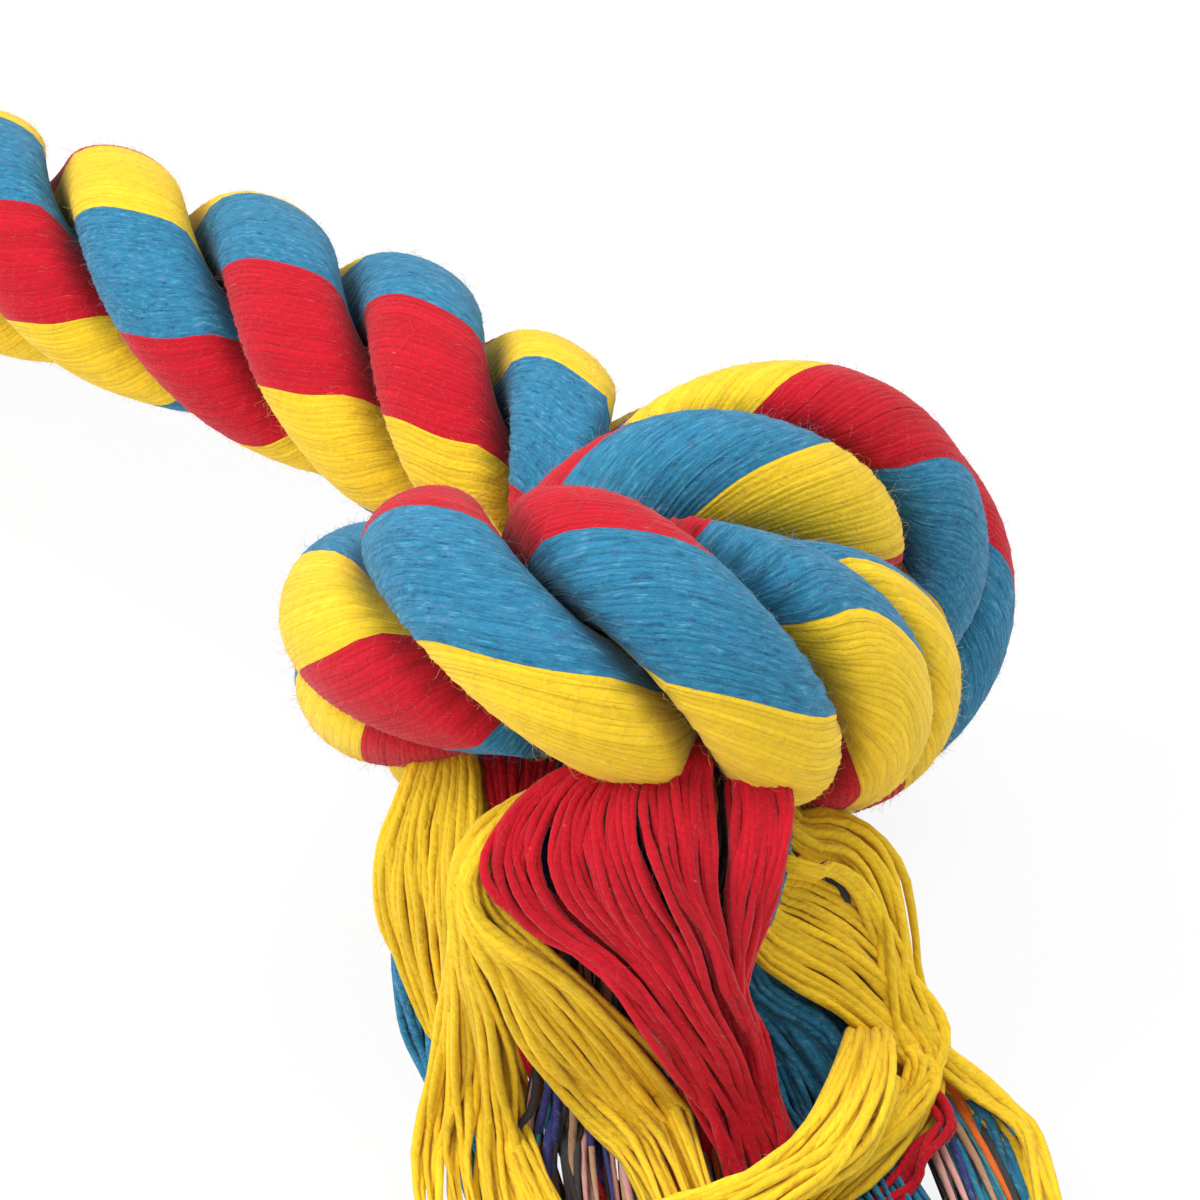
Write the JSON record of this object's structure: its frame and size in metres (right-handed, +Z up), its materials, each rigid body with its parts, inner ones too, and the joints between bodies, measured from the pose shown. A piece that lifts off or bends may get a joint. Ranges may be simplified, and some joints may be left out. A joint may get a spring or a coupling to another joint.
{
  "type": "rope dog toy",
  "caption": "Tug and chew toy of laid cotton rope in red, yellow and blue yarns, tied in an overhand knot at each end, with the rope's ends opened into tassels.",
  "frame": {"origin": "on the resting surface, under the middle of the rope", "axes": "+X along the rope towards the right-hand knot, +Z up"},
  "size_m": [0.3652, 0.1614, 0.0615],
  "materials": {
    "striped_cotton": "soft matt cotton yarn, red, yellow and blue in turn around each strand",
    "red_cotton": "soft matt red cotton yarn",
    "yellow_cotton": "soft matt yellow cotton yarn",
    "blue_cotton": "soft matt mottled blue cotton yarn",
    "core_cotton": "soft matt mixed offcut yarn, mostly charcoal with tan, teal and orange"
  },
  "bodies": {
    "rope_middle": {"strand_1_middle": "striped_cotton", "strand_2_middle": "striped_cotton", "strand_3_middle": "striped_cotton"},
    "right_neck": {"strand_1_right_neck": "striped_cotton", "strand_2_right_neck": "striped_cotton", "strand_3_right_neck": "striped_cotton"},
    "right_knot": {"strand_1_right_knot": "striped_cotton", "strand_2_right_knot": "striped_cotton", "strand_3_right_knot": "striped_cotton"},
    "right_tail_1": {"right_tail_1_yellow": "yellow_cotton", "right_tail_1_red": "red_cotton", "right_tail_1_blue": "blue_cotton", "right_tail_1_core": "core_cotton"},
    "right_tail_2": {"right_tail_2_yellow": "yellow_cotton", "right_tail_2_red": "red_cotton", "right_tail_2_blue": "blue_cotton", "right_tail_2_core": "core_cotton"},
    "right_tail_3": {"right_tail_3_yellow": "yellow_cotton", "right_tail_3_red": "red_cotton", "right_tail_3_blue": "blue_cotton", "right_tail_3_core": "core_cotton"},
    "left_neck": {"strand_1_left_neck": "striped_cotton", "strand_2_left_neck": "striped_cotton", "strand_3_left_neck": "striped_cotton"},
    "left_knot": {"strand_1_left_knot": "striped_cotton", "strand_2_left_knot": "striped_cotton", "strand_3_left_knot": "striped_cotton"},
    "left_tail_1": {"left_tail_1_yellow": "yellow_cotton", "left_tail_1_red": "red_cotton", "left_tail_1_blue": "blue_cotton", "left_tail_1_core": "core_cotton"},
    "left_tail_2": {"left_tail_2_yellow": "yellow_cotton", "left_tail_2_red": "red_cotton", "left_tail_2_blue": "blue_cotton", "left_tail_2_core": "core_cotton"},
    "left_tail_3": {"left_tail_3_yellow": "yellow_cotton", "left_tail_3_red": "red_cotton", "left_tail_3_blue": "blue_cotton", "left_tail_3_core": "core_cotton"}
  },
  "joints": [
    {"name": "right_lift", "type": "hinge", "parent": "rope_middle", "child": "right_neck", "pos_m": [0.034, 0, 0.0309], "axis": [0, -1, 0], "range_deg": [0, 35], "deforming": ["strand_1_right_neck", "strand_2_right_neck", "strand_3_right_neck"]},
    {"name": "right_bend", "type": "hinge", "parent": "right_neck", "child": "right_knot", "pos_m": [0.062, -0.0003, 0.032], "axis": [0, 0, 1], "range_deg": [-35, 35], "deforming": ["strand_1_right_neck", "strand_2_right_neck", "strand_3_right_neck"]},
    {"name": "left_lift", "type": "hinge", "parent": "rope_middle", "child": "left_neck", "pos_m": [-0.034, 0, 0.0309], "axis": [0, 1, 0], "range_deg": [0, 35], "deforming": ["strand_1_left_neck", "strand_2_left_neck", "strand_3_left_neck"]},
    {"name": "left_bend", "type": "hinge", "parent": "left_neck", "child": "left_knot", "pos_m": [-0.062, 0.0003, 0.032], "axis": [0, 0, 1], "range_deg": [-35, 35], "deforming": ["strand_1_left_neck", "strand_2_left_neck", "strand_3_left_neck"]},
    {"name": "right_tail_1_swing", "type": "hinge", "parent": "right_knot", "child": "right_tail_1", "pos_m": [0.1204, -0.0281, 0.0359], "axis": [0, 0, 1], "range_deg": [-12, 12], "deforming": ["right_tail_1_yellow", "right_tail_1_red", "right_tail_1_blue", "right_tail_1_core"]},
    {"name": "right_tail_2_swing", "type": "hinge", "parent": "right_knot", "child": "right_tail_2", "pos_m": [0.1204, -0.0281, 0.0359], "axis": [0, 0, 1], "range_deg": [-12, 12], "deforming": ["right_tail_2_yellow", "right_tail_2_red", "right_tail_2_blue", "right_tail_2_core"]},
    {"name": "right_tail_3_swing", "type": "hinge", "parent": "right_knot", "child": "right_tail_3", "pos_m": [0.1204, -0.0281, 0.0359], "axis": [0, 0, 1], "range_deg": [-12, 12], "deforming": ["right_tail_3_yellow", "right_tail_3_red", "right_tail_3_blue", "right_tail_3_core"]},
    {"name": "left_tail_1_swing", "type": "hinge", "parent": "left_knot", "child": "left_tail_1", "pos_m": [-0.1204, 0.0281, 0.0359], "axis": [0, 0, 1], "range_deg": [-12, 12], "deforming": ["left_tail_1_yellow", "left_tail_1_red", "left_tail_1_blue", "left_tail_1_core"]},
    {"name": "left_tail_2_swing", "type": "hinge", "parent": "left_knot", "child": "left_tail_2", "pos_m": [-0.1204, 0.0281, 0.0359], "axis": [0, 0, 1], "range_deg": [-12, 12], "deforming": ["left_tail_2_yellow", "left_tail_2_red", "left_tail_2_blue", "left_tail_2_core"]},
    {"name": "left_tail_3_swing", "type": "hinge", "parent": "left_knot", "child": "left_tail_3", "pos_m": [-0.1204, 0.0281, 0.0359], "axis": [0, 0, 1], "range_deg": [-12, 12], "deforming": ["left_tail_3_yellow", "left_tail_3_red", "left_tail_3_blue", "left_tail_3_core"]}
  ]
}
